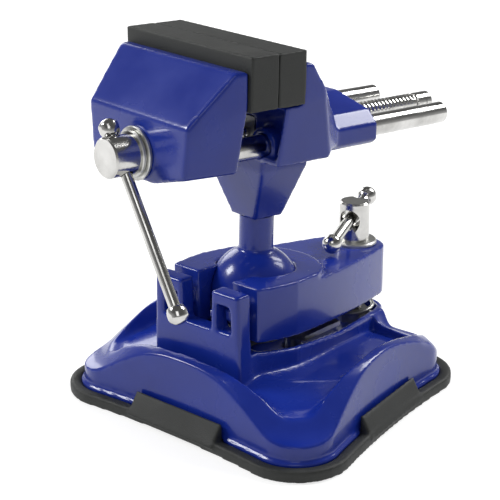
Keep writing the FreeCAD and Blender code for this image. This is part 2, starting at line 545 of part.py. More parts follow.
bar = new_body("clamp_bar")
pad(bar, circles(bar, "rod", "XY", [("0", "0", "bar_r")], "-bar_near - 1.5"), "bar_near + bar_far + 3")
place(bar, "0", "clamp_y", "tee_hole_z", V(-0.9646, -0.2638, 0), "90 - bar_lean")
balls = new_body("clamp_bar_balls")
for name, middle, way in (("near", "-bar_near", 1), ("far", "bar_far", -1)):
    flat = "%s + %d * sqrt(bar_ball_r * bar_ball_r - (bar_r + 0.9) * (bar_r + 0.9))" % (middle, way)
    tip = "%s - %d * bar_ball_r" % (middle, way)
    inner = "%s - %d * 1.52" % (middle, way)
    ring = [("0", tip, "bar_ball_r", -way), ("bar_r + 0.9", flat), ("bar_r + 0.01", flat)]
    ring += [("bar_r + 0.01", inner), ("0", inner)]
    turned(balls, "Revolution", outline(balls, name, "XZ", ring), "V_Axis")
place(balls, "0", "clamp_y", "tee_hole_z", V(-0.9646, -0.2638, 0), "90 - bar_lean")

# Suction gear inside the trough
lever = new_body("suction_lever")
wing_end = "lever_wing_y + lever_wing_long"
half = [("lever_half", "lever_front + 6"), ("lever_half", "lever_wing_y - 4"), ("lever_wide", "lever_wing_y")]
half += [("lever_wide", wing_end), ("lever_half", wing_end + " + 3"), ("lever_half", "lever_end")]
pad(lever, outline(lever, "plate", "XY", both_sides(half), "lever_low"), "lever_thick")
eye = circles(lever, "eye", "YZ", [("pin_y", "pin_z", "eye_r")])
pad(lever, eye, "2 * lever_half", middle=True)
eye_hole = circles(lever, "eye_hole", "YZ", [("pin_y", "pin_z", "pin_r + 0.05")])
pocket(lever, eye_hole, "40", middle=True)
stud_way = circles(lever, "stud_way", "XY", [("0", "stud_y", "stud_r + stud_clear")], "80")
pocket(lever, stud_way, "80")
pin = new_body("lever_pin")
pad(pin, circles(pin, "rod", "YZ", [("pin_y", "pin_z", "pin_r")]), "2 * pin_half", middle=True)
puller = new_body("suction_stud")
pad(puller, circles(puller, "disc", "XY", [("0", "stud_y - 9", "disc_r")], "foot_recess"), "disc_thick")
post = circles(puller, "post", "XY", [("0", "stud_y", "stud_r")], "foot_recess + 1")
pad(puller, post, "stud_top - foot_recess - 1")
stud_nut = new_body("stud_nut")
flats = []
for k in range(6):
    angle = "%d" % (60 * k)
    across = "stud_nut_half / cos(30)"
    flats.append(("%s * cos(%s)" % (across, angle), "stud_y + %s * sin(%s)" % (across, angle)))
pad(stud_nut, outline(stud_nut, "flats", "XY", flats, "lever_low + lever_thick"), "stud_nut_tall")
way = circles(stud_nut, "thread", "XY", [("0", "stud_y", "stud_r + thread_clear")], "10")
pocket(stud_nut, way, "40", reverse=True)

# Rear jaw, drawn from the ball's centre like all that follows
rear = new_body("rear_jaw")
pad_back = "seam_y + pad_thick"
side = [("rear_lip_y", "rear_low"), ("rear_step_y - 2", "rear_low"), ("rear_step_y", "rear_step_z")]
side += [("rear_end_y", "rear_step_z"), ("rear_end_y", "rear_end_z"), ("rear_foot_y", "rear_foot_z")]
side += [("rear_bend_y", "rear_bend_z"), ("rear_back_y", "rear_back_z"), ("rear_back_y - 0.8", "jaw_top")]
side += [(pad_back, "jaw_top"), (pad_back, "pad_low - 0.6"), ("rear_lip_y", "pad_low - 0.6")]
pad(rear, outline(rear, "side", "YZ", side), "2 * pad_half", middle=True)
front_view = [("jaw_half_low + 0.6", "40"), ("jaw_half_low + 0.6", "rear_low")]
front_view = both_sides(front_view + [("jaw_half", "jaw_mid_z"), ("jaw_half - 0.2", "120")])
around = outline(rear, "around", "XZ", front_view, "60")
frame_in(around)
pocket(rear, around, "120")
tail_slope = "(rear_end_y - tail_y) / tail_in"
plan = [("60", "-60"), ("60", "tail_y - (60 - jaw_half_low - 0.8) * %s" % tail_slope)]
tail_half = "jaw_half_low + 0.8 - tail_in"
plan = both_sides(plan + [(tail_half, "rear_end_y"), (tail_half, "90")])
plan = outline(rear, "plan", "XY", plan, "120")
frame_in(plan)
pocket(rear, plan, "100")
sleeve = [("sleeve_half - 2", "sleeve_low"), ("sleeve_half", "sleeve_low + 2")]
sleeve += [("sleeve_half", "sleeve_side"), ("sleeve_shoulder", "sleeve_shoulder_z")]
sleeve += [("9", "sleeve_ridge - 1.2"), ("4", "sleeve_ridge")]
pad(rear, outline(rear, "sleeve", "XZ", both_sides(sleeve), "-sleeve_end"), "sleeve_end - rear_step_y + 4")
low_square = both_sides([("neck_half", "-neck_half"), ("neck_half", "neck_half")])
high_square = both_sides([("neck_top_half", "-neck_front"), ("neck_top_half", "neck_back")])
neck_levels = (("neck_low", low_square), ("neck_mid", high_square), ("neck_top", high_square))
neck_cuts = [outline(rear, level, "XY", square, level) for level, square in neck_levels]
loft(rear, *neck_cuts)
mouth = [("jaw_half_low - rear_wall + 0.6", "rear_low + 2.4"), ("jaw_half - rear_wall - 0.5", "pad_low - 2")]
mouth = both_sides(mouth)
pocket(rear, outline(rear, "mouth", "XZ", mouth, "-rear_lip_y + 0.1"), "rear_core_deep + 0.1")
bosses = [("rod_x", "rod_z", "rod_boss_r"), ("-rod_x", "rod_z", "rod_boss_r")]
bosses = circles(rear, "rod_bosses", "XZ", bosses, "-rear_lip_y - rear_core_deep - 1")
pad(rear, bosses, "rod_boss_long + 1")
bores = [("rod_x", "rod_z", "rod_r + rod_clear"), ("-rod_x", "rod_z", "rod_r + rod_clear")]
bores.append(("0", "screw_z", "screw_r + screw_clear"))
pocket(rear, circles(rear, "bores", "XZ", bores, "60"), "120")
nut_side = "nut_half + face_gap"
square = both_sides([(nut_side, "screw_z - (%s)" % nut_side), (nut_side, "screw_z + %s" % nut_side)])
nut_front = "-rear_lip_y - rear_core_deep"
pocket(rear, outline(rear, "nut_seat", "XZ", square, nut_front + " + 1"), "nut_thick + 1")
groove_half = "tongue_half + tongue_clear"
groove = [(groove_half, "tongue_low - tongue_clear")]
groove = both_sides(groove + [(groove_half, "tongue_low + tongue_tall + tongue_clear")])
pocket(rear, outline(rear, "groove", "XZ", groove, "-(%s) + 1" % pad_back), "tongue_deep + 1.1")
spigot = circles(rear, "spigot_hole", "XY", [("0", "0", "spigot_r + spigot_clear")], "20")
pocket(rear, spigot, "spigot_top + 0.1 - 20", reverse=True)
pin_way = circles(rear, "pin_way", "XZ", [("0", "neck_pin_z", "neck_pin_r + 0.02")], "3")
pocket(rear, pin_way, "30")
on_head(rear)
neck_pin = new_body("neck_pin")
pad(neck_pin, circles(neck_pin, "rod", "XZ", [("0", "neck_pin_z", "neck_pin_r")], "-8.6"), "11.4")
on_head(neck_pin)

drive_nut = new_body("drive_nut")
square = both_sides([("nut_half", "screw_z - nut_half"), ("nut_half", "screw_z + nut_half")])
pad(drive_nut, outline(drive_nut, "block", "XZ", square, nut_front + " - nut_thick"), "nut_thick")
thread = circles(drive_nut, "thread", "XZ", [("0", "screw_z", "screw_r + thread_clear")], "60")
pocket(drive_nut, thread, "120")
on_head(drive_nut)

# Rubber blocks with a tongue that sits in each jaw
for name, face in (("front_jaw_pad", "-seam_y + pad_thick"), ("rear_jaw_pad", "-(%s)" % pad_back)):
    block = new_body(name)
    wide = both_sides([("pad_half", "pad_low"), ("pad_half", "pad_top")])
    near = "-seam_y + face_gap" if name == "front_jaw_pad" else face
    pad(block, outline(block, "block", "XZ", wide, near), "pad_thick - face_gap")
    tongue = both_sides([("tongue_half", "tongue_low"), ("tongue_half", "tongue_low + tongue_tall")])
    start = "%s - 0.5" % face if name == "front_jaw_pad" else "%s - tongue_deep" % face
    pad(block, outline(block, "tongue", "XZ", tongue, start), "tongue_deep + 0.5")
    on_head(block)

# Front jaw, drawn through three cuts across the vise
front = new_body("front_jaw")
jaw_face = "-seam_y + pad_thick + face_gap"
cuts = (
    ("back", jaw_face, "jaw_half_low", "jaw_half", "jaw_mid_z", "jaw_top"),
    ("brow", jaw_face + " + front_flat", "jaw_half_low - 0.4", "front_flat_half", "jaw_mid_z - 1", "jaw_top"),
    ("face", "front_face", "front_face_low", "front_face_half", "front_slope_z - 4", "front_slope_z"),
)
sections = []
for name, away, low_half, half, mid_z, top_z in cuts:
    shape = both_sides([("keel_half", "jaw_keel"), (low_half, "jaw_low"), (half, mid_z), (half, top_z)])
    sections.append(outline(front, name, "XZ", shape, away))
loft(front, *sections)
core = both_sides([("front_core_half", "front_core_low"), ("front_core_half", "front_core_top")])
pocket(front, outline(front, "core", "XZ", core, "front_face - front_wall"), "60")
bores = [("rod_x", "rod_z", "rod_r + 0.01"), ("-rod_x", "rod_z", "rod_r + 0.01")]
pocket(front, circles(front, "rod_bores", "XZ", bores, "rod_front"), "60")
pocket(front, circles(front, "screw_bore", "XZ", [("0", "screw_z", "screw_r + 0.1")], "90"), "80")
pocket(front, outline(front, "groove", "XZ", groove, jaw_face + " + tongue_deep + 0.1"), "20")
pin_spots = [("rod_x", "-rod_pin_y", "rod_pin_r + 0.01"), ("-rod_x", "-rod_pin_y", "rod_pin_r + 0.01")]
pin_ways = circles(front, "pin_ways", "XY", pin_spots, "40")
pocket(front, pin_ways, "rod_pin_top - 40 + 0.1", reverse=True)
on_head(front)
rods = new_body("guide_rods")
ends = [("rod_x", "rod_z", "rod_r"), ("-rod_x", "rod_z", "rod_r")]
pad(rods, circles(rods, "rods", "XZ", ends, "-rod_back"), "rod_back + rod_front - 0.1")
eased(rods, "Chamfer", "0.6", lambda e: e.BoundBox.YLength < 0.01 and e.BoundBox.YMin > 50)
holes = circles(rods, "pin_holes", "XY", pin_spots, "40")
pocket(rods, holes, "40", reverse=True)
on_head(rods)
rod_pins = new_body("rod_pins")
spots = [("rod_x", "-rod_pin_y", "rod_pin_r"), ("-rod_x", "-rod_pin_y", "rod_pin_r")]
pins = circles(rod_pins, "pins", "XY", spots, "rod_pin_low")
pad(rod_pins, pins, "rod_pin_top - rod_pin_low")
on_head(rod_pins)

# Lead screw with its boss, rings and handle
lead = new_body("lead_screw")
r = "screw_z + "
clip_low = "-front_face + front_wall + face_gap"
line = [("-boss_front", "screw_z"), ("-boss_front", r + "boss_r - 0.6"), ("-boss_front + 0.6", r + "boss_r")]
line += [("-boss_back", r + "boss_r"), ("-boss_back", r + "screw_r"), (clip_low + " - 0.05", r + "screw_r")]
line.append((clip_low + " - 0.05", r + "clip_groove_r"))
line.append((clip_low + " + clip_thick + 0.05", r + "clip_groove_r"))
line += [(clip_low + " + clip_thick + 0.05", r + "screw_r"), ("thread_end", r + "screw_r")]
line += [("thread_end", r + "screw_neck_r"), ("end_low + 5.2", r + "screw_neck_r")]
line.append(("end_low + 5.2", r + "end_r"))
line += [("screw_end - 0.8", r + "end_r"), ("screw_end", r + "end_r - 0.8"), ("screw_end", "screw_z")]
rolled(lead, "line", line, "screw_z")
along = "sin(handle_turn)", "cos(handle_turn)"


def on_handle(reach, out):
    """Place in the handle's own sketch: so far down the handle, so far out from its line."""
    x = "(%s) * %s + (%s) * %s" % (reach, along[0], out, along[1])
    z = "screw_z - (%s) * %s + (%s) * %s" % (reach, along[1], out, along[0])
    return x, z


def turned_on_handle(body, name, places, kind="Revolution"):
    sketch = outline(body, name, "XZ", [on_handle(*place) for place in places], "handle_y")
    ends = (on_handle("-30", "0"), on_handle("90", "0"))
    points = [V(size(x), size(y), 0) for x, y in ends]
    line = sketch.addGeometry(Part.LineSegment(*points), True)
    hold(sketch, line, 1, *ends[0])
    hold(sketch, line, 2, *ends[1])
    return turned(body, kind, sketch, "Axis0")


cross = [("-20", "0"), ("-20", "handle_hole_r"), ("20", "handle_hole_r"), ("20", "0")]
turned_on_handle(lead, "cross", cross, "Groove")
on_head(lead)
washer_low = "-front_face - washer_thick - face_gap"
rings = (
    ("thrust_ring", "collar_r", "-boss_back + face_gap", washer_low + " - face_gap", "screw_r + 0.1"),
    ("screw_washer", "washer_r", washer_low, "-front_face - face_gap", "screw_r + 0.1"),
    ("screw_clip", "clip_r", clip_low, clip_low + " + clip_thick", "clip_groove_r + 0.05"),
    ("end_collar", "end_r", "end_low", "end_low + 5.1", "screw_neck_r + 0.05"),
)
for name, out, low_y, high_y, hole in rings:
    ring_body = new_body(name)
    ring = [(low_y, r + hole), (low_y, r + out + " - 0.3"), (low_y + " + 0.3", r + out)]
    ring += [(high_y + " - 0.3", r + out), (high_y, r + out + " - 0.3"), (high_y, r + hole)]
    rolled(ring_body, "ring", ring, "screw_z")
    on_head(ring_body)
handle = new_body("handle_bar")
rod = [("-handle_up - 1.5", "0"), ("-handle_up - 1.5", "handle_r")]
rod += [("handle_down + 1.5", "handle_r"), ("handle_down + 1.5", "0")]
turned_on_handle(handle, "rod", rod)
on_head(handle)
knobs = new_body("handle_knobs")
for name, middle, way in (("upper", "-handle_up", 1), ("lower", "handle_down", -1)):
    rows = [("knob_long / 2", "handle_r + 0.01"), ("knob_long / 2", "knob_neck_r"), ("1.2", "knob_r")]
    rows += [("-1.4", "knob_r"), ("-knob_long / 2", "knob_r - 1.9"), ("-knob_long / 2", "0"), ("-1.52", "0")]
    rows += [("-1.52", "handle_r + 0.01")]
    turned_on_handle(knobs, name, [("%s + %d * (%s)" % (middle, way, s), out) for s, out in rows])
on_head(knobs)

# Coil spring under the clamp body, one tube along arcs that meet without a kink
def coil_point(turns):
    angle = 2 * math.pi * turns
    radius = size("spring_r")
    rise = size("spring_tall") * turns / size("spring_turns")
    return V(radius * math.cos(angle), radius * math.sin(angle), rise)


def coil_way(turns):
    angle = 2 * math.pi * turns
    rise = size("spring_tall") / size("spring_turns") / (2 * math.pi)
    return V(-size("spring_r") * math.sin(angle), size("spring_r") * math.cos(angle), rise).normalize()


def bend(a, way, b):
    """Arc from a, leaving along way, to b."""
    chord = b - a
    across = way - chord * (way.dot(chord) / chord.dot(chord))
    lean = way.getAngle(chord)
    middle = (a + b) * 0.5 + across.normalize() * (chord.Length / 2.0 * math.tan(lean / 2.0))
    return Part.Arc(a, middle, b).toShape()


edges = []
steps = int(round(size("spring_turns") * 4))
for k in range(steps):
    a = coil_point(k / 4.0)
    b = coil_point((k + 1) / 4.0)
    way_a = coil_way(k / 4.0)
    way_b = coil_way((k + 1) / 4.0)
    gap_way = b - a
    both = way_a + way_b
    spread = 2 * (1 - way_a.dot(way_b))
    reach = (-gap_way.dot(both) + math.sqrt(gap_way.dot(both) ** 2 + spread * gap_way.dot(gap_way))) / spread
    joint = (a + b + (way_a - way_b) * reach) * 0.5
    edges.append(bend(a, way_a, joint))
    back = bend(b, way_b * -1, joint)
    edges.append(Part.Arc(joint, back.valueAt((back.FirstParameter + back.LastParameter) / 2), b).toShape())
ring = Part.Wire([Part.Circle(coil_point(0), coil_way(0), size("spring_wire") / 2.0).toShape()])
spring = doc.addObject("Part::Feature", "clamp_spring")
spring.Label = "clamp_spring"
spring.Shape = Part.Wire(edges).makePipeShell([ring], True, False)
spring.Placement = FreeCAD.Placement(V(0, size("clamp_y"), size("spring_low") + 0.1), FreeCAD.Rotation())
least = min((coil_point(k / 8.0) - coil_point(k / 8.0 + 1)).Length for k in range(8))
print("spring gap", round(least - size("spring_wire"), 2), "mm")

# Check everything, then write each piece
doc.recompute()
faults = [item.Name for item in doc.Objects if "Invalid" in item.State or "Error" in item.State]
pieces = [item for item in doc.Objects if item.isDerivedFrom("PartDesign::Body") and item != dip] + [spring]
for piece in pieces:
    if piece.Shape.isNull() or not piece.Shape.isValid() or not piece.Shape.Solids:
        faults.append(piece.Label)
if faults:
    raise RuntimeError("not sound: " + ", ".join(faults))
os.makedirs("parts", exist_ok=True)
for piece in pieces:
    solids = piece.Shape.Solids
    print(piece.Label, len(solids), round(piece.Shape.Volume))
    piece.Shape.exportStep("parts/%s.step" % piece.Label)
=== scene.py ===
import bpy
import bmesh
import json
import math
from mathutils import Matrix, Vector


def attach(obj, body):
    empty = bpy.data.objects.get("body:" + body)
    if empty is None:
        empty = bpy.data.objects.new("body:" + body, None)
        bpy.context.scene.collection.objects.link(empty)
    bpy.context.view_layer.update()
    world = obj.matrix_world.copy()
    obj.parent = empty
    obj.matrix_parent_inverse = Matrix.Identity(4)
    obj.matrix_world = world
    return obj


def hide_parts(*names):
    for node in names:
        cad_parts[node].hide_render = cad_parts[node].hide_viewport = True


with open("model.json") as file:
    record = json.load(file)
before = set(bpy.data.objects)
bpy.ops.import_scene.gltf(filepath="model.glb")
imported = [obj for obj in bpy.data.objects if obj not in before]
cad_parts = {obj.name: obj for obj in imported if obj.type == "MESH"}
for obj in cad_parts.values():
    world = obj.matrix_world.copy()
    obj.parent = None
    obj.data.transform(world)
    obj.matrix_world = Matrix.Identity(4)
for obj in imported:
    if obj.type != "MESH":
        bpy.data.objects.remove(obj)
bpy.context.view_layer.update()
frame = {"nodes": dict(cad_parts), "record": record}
nodes = frame["nodes"]
slotOf = {part["node"]: part["material_slot"] for part in frame["record"]["subparts"]}
print("frame loaded:", len(nodes), "nodes")

# Where the head stands: on the ball's centre, turned and leaning a little
headPlace = {"ballCentre": (0.0, -0.0121, 0.0463), "axis": (-0.2265, 0.0156, -0.9739), "turn": 8.11}
headMatrix = Matrix.Translation(headPlace["ballCentre"]) @ Matrix.Rotation(
    math.radians(headPlace["turn"]), 4, Vector(headPlace["axis"]).normalized()
)


def newMaterial(name):
    mat = bpy.data.materials.new(name)
    mat.use_nodes = True
    tree = mat.node_tree
    shader = tree.nodes["Principled BSDF"]
    place = tree.nodes.new("ShaderNodeTexCoord")
    return mat, tree, shader, place.outputs["Object"]


def addNoise(tree, place, scale, detail, rough=0.5):
    noise = tree.nodes.new("ShaderNodeTexNoise")
    noise.inputs["Scale"].default_value = scale
    noise.inputs["Detail"].default_value = detail
    noise.inputs["Roughness"].default_value = rough
    tree.links.new(place, noise.inputs["Vector"])
    return noise.outputs["Fac"]


def addRange(tree, value, low, high, fromLow=0.3, fromHigh=0.7):
    ranger = tree.nodes.new("ShaderNodeMapRange")
    ranger.inputs["From Min"].default_value = fromLow
    ranger.inputs["From Max"].default_value = fromHigh
    ranger.inputs["To Min"].default_value = low
    ranger.inputs["To Max"].default_value = high
    tree.links.new(value, ranger.inputs["Value"])
    return ranger.outputs["Result"]


# Colour and roughness that both follow one pattern
def addFinish(tree, shader, pattern, colorA, colorB, rough):
    mix = tree.nodes.new("ShaderNodeMix")
    mix.data_type = "RGBA"
    tree.links.new(addRange(tree, pattern, 0, 1), mix.inputs["Factor"])
    mix.inputs["A"].default_value = (*colorA, 1)
    mix.inputs["B"].default_value = (*colorB, 1)
    tree.links.new(mix.outputs["Result"], shader.inputs["Base Color"])
    tree.links.new(addRange(tree, pattern, *rough), shader.inputs["Roughness"])


def addBump(tree, shader, height, strength, depth):
    bump = tree.nodes.new("ShaderNodeBump")
    bump.inputs["Strength"].default_value = strength
    bump.inputs["Distance"].default_value = depth
    tree.links.new(height, bump.inputs["Height"])
    tree.links.new(bump.outputs["Normal"], shader.inputs["Normal"])


enamelLook = {
    "deep": (0.006, 0.021, 0.245), "light": (0.011, 0.033, 0.315), "clouds": 35, "rough": (0.20, 0.30),
    "shine": 0.3, "coat": 0.3, "coatRough": 0.06, "peel": 420, "peelStrength": 0.06, "peelDepth": 0.0004,
}


def makeEnamel(name, look):
    mat, tree, shader, place = newMaterial(name)
    clouds = addNoise(tree, place, look["clouds"], 5)
    addFinish(tree, shader, clouds, look["deep"], look["light"], look["rough"])
    shader.inputs["Specular IOR Level"].default_value = look["shine"]
    shader.inputs["Coat Weight"].default_value = look["coat"]
    shader.inputs["Coat Roughness"].default_value = look["coatRough"]
    addBump(tree, shader, addNoise(tree, place, look["peel"], 2), look["peelStrength"], look["peelDepth"])
    return mat


rubberLook = {
    "dark": (0.014, 0.016, 0.015), "dusty": (0.034, 0.036, 0.034), "dust": 60, "rough": (0.5, 0.7),
    "shine": 0.45, "grain": 2600, "grainStrength": 0.35, "grainDepth": 0.0003,
}


def makeRubber(name, look):
    mat, tree, shader, place = newMaterial(name)
    dust = addNoise(tree, place, look["dust"], 8, 0.65)
    addFinish(tree, shader, dust, look["dark"], look["dusty"], look["rough"])
    shader.inputs["Specular IOR Level"].default_value = look["shine"]
    addBump(tree, shader, addNoise(tree, place, look["grain"], 3), look["grainStrength"], look["grainDepth"])
    return mat


steelLook = {
    "bright": (0.66, 0.655, 0.64), "grey": (0.46, 0.455, 0.44), "patches": 90, "rough": (0.10, 0.26),
    "scratches": 1500, "scratchStrength": 0.04, "scratchDepth": 0.0002,
}
zincLook = {
    "bright": (0.66, 0.66, 0.63), "grey": (0.42, 0.42, 0.41), "patches": 160, "rough": (0.28, 0.5),
    "scratches": 1500, "scratchStrength": 0.12, "scratchDepth": 0.0002,
}


def makeMetal(name, look):
    mat, tree, shader, place = newMaterial(name)
    shader.inputs["Metallic"].default_value = 1.0
    patches = addNoise(tree, place, look["patches"], 6, 0.6)
    addFinish(tree, shader, patches, look["bright"], look["grey"], look["rough"])
    scratches = addNoise(tree, place, look["scratches"], 4)
    addBump(tree, shader, scratches, look["scratchStrength"], look["scratchDepth"])
    return mat


materials = {
    "enamel": makeEnamel("blueEnamel", enamelLook),
    "rubber": makeRubber("footRubber", rubberLook),
    "bright_steel": makeMetal("brightSteel", steelLook),
    "zinc": makeMetal("zincPlate", zincLook),
}
print("materials made")

# Turned and pressed pieces keep their edges: smooth shading only where faces meet at less than the angle
edgeLook = {"weld": 0.00001, "angle": 28, "weight": 80}


def makeSmoother():
    group = bpy.data.node_groups.new("smoothByAngle", "GeometryNodeTree")
    group.interface.new_socket("Geometry", in_out="INPUT", socket_type="NodeSocketGeometry")
    group.interface.new_socket("Geometry", in_out="OUTPUT", socket_type="NodeSocketGeometry")
    start = group.nodes.new("NodeGroupInput")
    end = group.nodes.new("NodeGroupOutput")
    angle = group.nodes.new("GeometryNodeInputMeshEdgeAngle")
    compare = group.nodes.new("FunctionNodeCompare")
    compare.operation = "LESS_THAN"
    compare.inputs["B"].default_value = math.radians(edgeLook["angle"])
    faces = group.nodes.new("GeometryNodeSetShadeSmooth")
    faces.domain = "FACE"
    edges = group.nodes.new("GeometryNodeSetShadeSmooth")
    edges.domain = "EDGE"
    group.links.new(angle.outputs["Unsigned Angle"], compare.inputs["A"])
    group.links.new(compare.outputs["Result"], edges.inputs["Shade Smooth"])
    group.links.new(start.outputs[0], faces.inputs["Geometry"])
    group.links.new(faces.outputs["Geometry"], edges.inputs["Geometry"])
    group.links.new(edges.outputs["Geometry"], end.inputs[0])
    return group


smoother = makeSmoother()


def addWeld(piece):
    weld = piece.modifiers.new("weld", "WELD")
    weld.merge_threshold = edgeLook["weld"]


def addSmooth(piece):
    addWeld(piece)
    smooth = piece.modifiers.new("smooth", "NODES")
    smooth.node_group = smoother
    even = piece.modifiers.new("even", "WEIGHTED_NORMAL")
    even.keep_sharp = True
    even.weight = edgeLook["weight"]


# Cast and moulded pieces lose their sharp edges: a fine even mesh, relaxed, then thinned again
castLook = {
    "base_casting": {"grain": 0.00062, "relax": 10, "keep": 0.75},
    "clamp_body": {"grain": 0.00055, "relax": 9, "keep": 0.7},
    "rear_jaw": {"grain": 0.00055, "relax": 12, "keep": 0.7},
    "front_jaw": {"grain": 0.00055, "relax": 26, "keep": 0.7},
    "suction_pad": {"grain": 0.00065, "relax": 8, "keep": 0.6},
    "front_jaw_pad": {"grain": 0.0005, "relax": 2, "keep": 0.4},
    "rear_jaw_pad": {"grain": 0.0005, "relax": 2, "keep": 0.4},
}


def addFine(piece, cast):
    addWeld(piece)
    fine = piece.modifiers.new("fine", "REMESH")
    fine.mode = "VOXEL"
    fine.voxel_size = cast["grain"]
    fine.use_smooth_shade = True


def addRelax(piece, steps):
    relax = piece.modifiers.new("relax", "SMOOTH")
    relax.factor = 0.5
    relax.iterations = steps
    return relax


def addThin(piece, cast):
    thin = piece.modifiers.new("thin", "DECIMATE")
    thin.ratio = cast["keep"]


for name, node in nodes.items():
    node.data.materials.clear()
    node.data.materials.append(materials[slotOf[name]])
    if name == "base_casting":
        continue  # replaced below
    if name in castLook:
        addFine(node, castLook[name])
        addRelax(node, castLook[name]["relax"])
        addThin(node, castLook[name])
    else:
        addSmooth(node)
print("nodes dressed")


def newPiece(name, mesh, body, stood, slotName):
    piece = bpy.data.objects.new(name, mesh)
    bpy.context.scene.collection.objects.link(piece)
    mesh.materials.clear()
    mesh.materials.append(materials[slotName])
    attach(piece, body)
    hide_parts(*stood)
    return piece


# From 0 at the low value to 1 at the high one, with a soft start and end
def fadeIn(value, low, high):
    part = min(max((value - low) / (high - low), 0.0), 1.0)
    return part * part * (3 - 2 * part)


# The base casting, drawn down beside the trough's end and at the rear of its side lobes,
# and relaxed more there and at the bend of each front corner
baseLook = {
    "keptHeight": 0.0115,
    "tailY": 0.0526, "tailRadius": 0.0128, "tailFlare": 0.19, "tailBlend": 0.0035,
    "dropFrom": 0.041, "dropTo": 0.052, "drop": 0.70,
    "lobeFrom": 0.002, "lobeTo": 0.036, "lobeNear": 0.004, "lobeFar": 0.016, "lobe": 0.21,
    "easeFrom": 0.034, "easeTo": 0.040, "easeNear": 0.001, "easeAbove": 0.0105, "easeFacing": -0.1,
    "noseX": 0.0454, "noseY": -0.0405, "noseReach": 0.0150, "noseBlend": 0.004,
    "noseLow": 0.0125, "noseTop": 0.0215, "noseFacing": 0.2, "softSteps": 60,
}


# How far a point stands outside the trough's wall, seen from above
def outsideTrough(x, y, look):
    if y > look["tailY"]:
        return math.hypot(x, y - look["tailY"]) - look["tailRadius"]
    return abs(x) - look["tailRadius"] - (look["tailY"] - y) * look["tailFlare"]


# The share of its height that a point loses
def lowerShare(y, outside, look):
    tail = fadeIn(y, look["dropFrom"], look["dropTo"]) * fadeIn(outside, 0, look["tailBlend"])
    lobe = fadeIn(y, look["lobeFrom"], look["lobeTo"]) * fadeIn(outside, look["lobeNear"], look["lobeFar"])
    return max(look["drop"] * tail, look["lobe"] * lobe)


# How much more a point is relaxed than the rest
def softWeight(x, y, z, facing, outside, look):
    reach = math.hypot(abs(x) - look["noseX"], y - look["noseY"])
    nose = fadeIn(look["noseReach"] - reach, 0, look["noseBlend"])
    if nose > 0 and look["noseLow"] < z < look["noseTop"] and facing > look["noseFacing"]:
        return nose
    ease = fadeIn(y, look["easeFrom"], look["easeTo"]) * fadeIn(outside, look["easeNear"], look["tailBlend"])
    if z > look["easeAbove"] and facing > look["easeFacing"]:
        return ease
    return 0.0


def makeBase(name, cast, look):
    rough = bpy.data.objects.new("roughBase", nodes[name].data.copy())
    bpy.context.scene.collection.objects.link(rough)
    addFine(rough, cast)
    mesh = bpy.data.meshes.new_from_object(rough.evaluated_get(bpy.context.evaluated_depsgraph_get()))
    bpy.data.objects.remove(rough)
    piece = newPiece("baseCasting", mesh, "base", [name], slotOf[name])
    softer = piece.vertex_groups.new(name="softer")
    bm = bmesh.new()
    bm.from_mesh(mesh)
    weights = bm.verts.layers.deform.verify()
    for vert in bm.verts:
        x, y, z = vert.co
        outside = outsideTrough(x, y, look)
        weight = softWeight(x, y, z, vert.normal.z, outside, look)
        if weight > 0:
            vert[weights][softer.index] = weight
        if z > look["keptHeight"]:
            vert.co.z -= (z - look["keptHeight"]) * lowerShare(y, outside, look)
    bm.to_mesh(mesh)
    bm.free()
    soft = addRelax(piece, look["softSteps"])
    soft.vertex_group = softer.name
    addRelax(piece, cast["relax"])
    addThin(piece, cast)


makeBase("base_casting", castLook["base_casting"], baseLook)
print("base made")


# Knobs and balls turned from a profile of (place along the bar, radius), its corners eased
def turnKnobs(name, body, stood, knobs, look):
    bm = bmesh.new()
    for centre, way in knobs:
        across = way.orthogonal().normalized()
        line = [bm.verts.new(centre + way * s + across * r) for s, r in look["profile"]]
        for pair in zip(line, line[1:]):
            bm.edges.new(pair)
        if look["ease"]:
            bmesh.ops.bevel(
                bm, geom=line[1:-1], offset=look["ease"], offset_type="OFFSET", segments=4, profile=0.5,
                affect="VERTICES", clamp_overlap=True, material=-1,
            )
        edges = [edge for edge in bm.edges if not edge.link_faces]
        bmesh.ops.spin(
            bm, geom=edges, cent=centre, axis=way, angle=math.tau, steps=look["sides"],
            use_merge=True, use_normal_flip=False, use_duplicate=False,
        )
    bmesh.ops.remove_doubles(bm, verts=bm.verts, dist=0.000002)
    bmesh.ops.recalc_face_normals(bm, faces=bm.faces)
    mesh = bpy.data.meshes.new(name)
    bm.to_mesh(mesh)
    bm.free()
    addSmooth(newPiece(name, mesh, body, stood, "bright_steel"))
    print(name, len(mesh.polygons), "faces")


# The handle's knobs sit on a bar that leans by the turn, in the head's own frame
knobLook = {
    "profile": (
        (-0.0032, 0), (-0.0032, 0.0029), (-0.0012, 0.0037), (0.0014, 0.0037), (0.0032, 0.0018), (0.0032, 0),
    ),
    "ease": 0.0007, "sides": 64, "middle": (0, -0.0644, 0.0629), "turn": 34.9, "up": 0.0107, "down": 0.0598,
}
handleMiddle = Vector(knobLook["middle"])
handleDown = Vector((math.sin(math.radians(knobLook["turn"])), 0, -math.cos(math.radians(knobLook["turn"]))))
handleWay = headMatrix.to_3x3() @ handleDown
turnKnobs("handleKnobs", "handle", ["handle_knobs"], [
    (headMatrix @ (handleMiddle - handleDown * knobLook["up"]), -handleWay),
    (headMatrix @ (handleMiddle + handleDown * knobLook["down"]), handleWay),
], knobLook)

# The clamp bar's balls start at the angle where the bar enters them
ballLook = {
    "radius": 0.0040, "startAngle": 0.775, "arcSteps": 18, "ease": 0.0, "sides": 64,
    "middle": (0, 0.05, 0.0616), "way": (-0.2543, 0.9295, 0.2672), "near": 0.0236, "far": 0.0139,
}


def ballProfile(radius, start, steps):
    arc = [start + (math.pi - start) * k / steps for k in range(steps)]
    points = [(-math.cos(a) * radius, math.sin(a) * radius) for a in arc]
    return [(points[0][0], 0)] + points + [(radius, 0)]


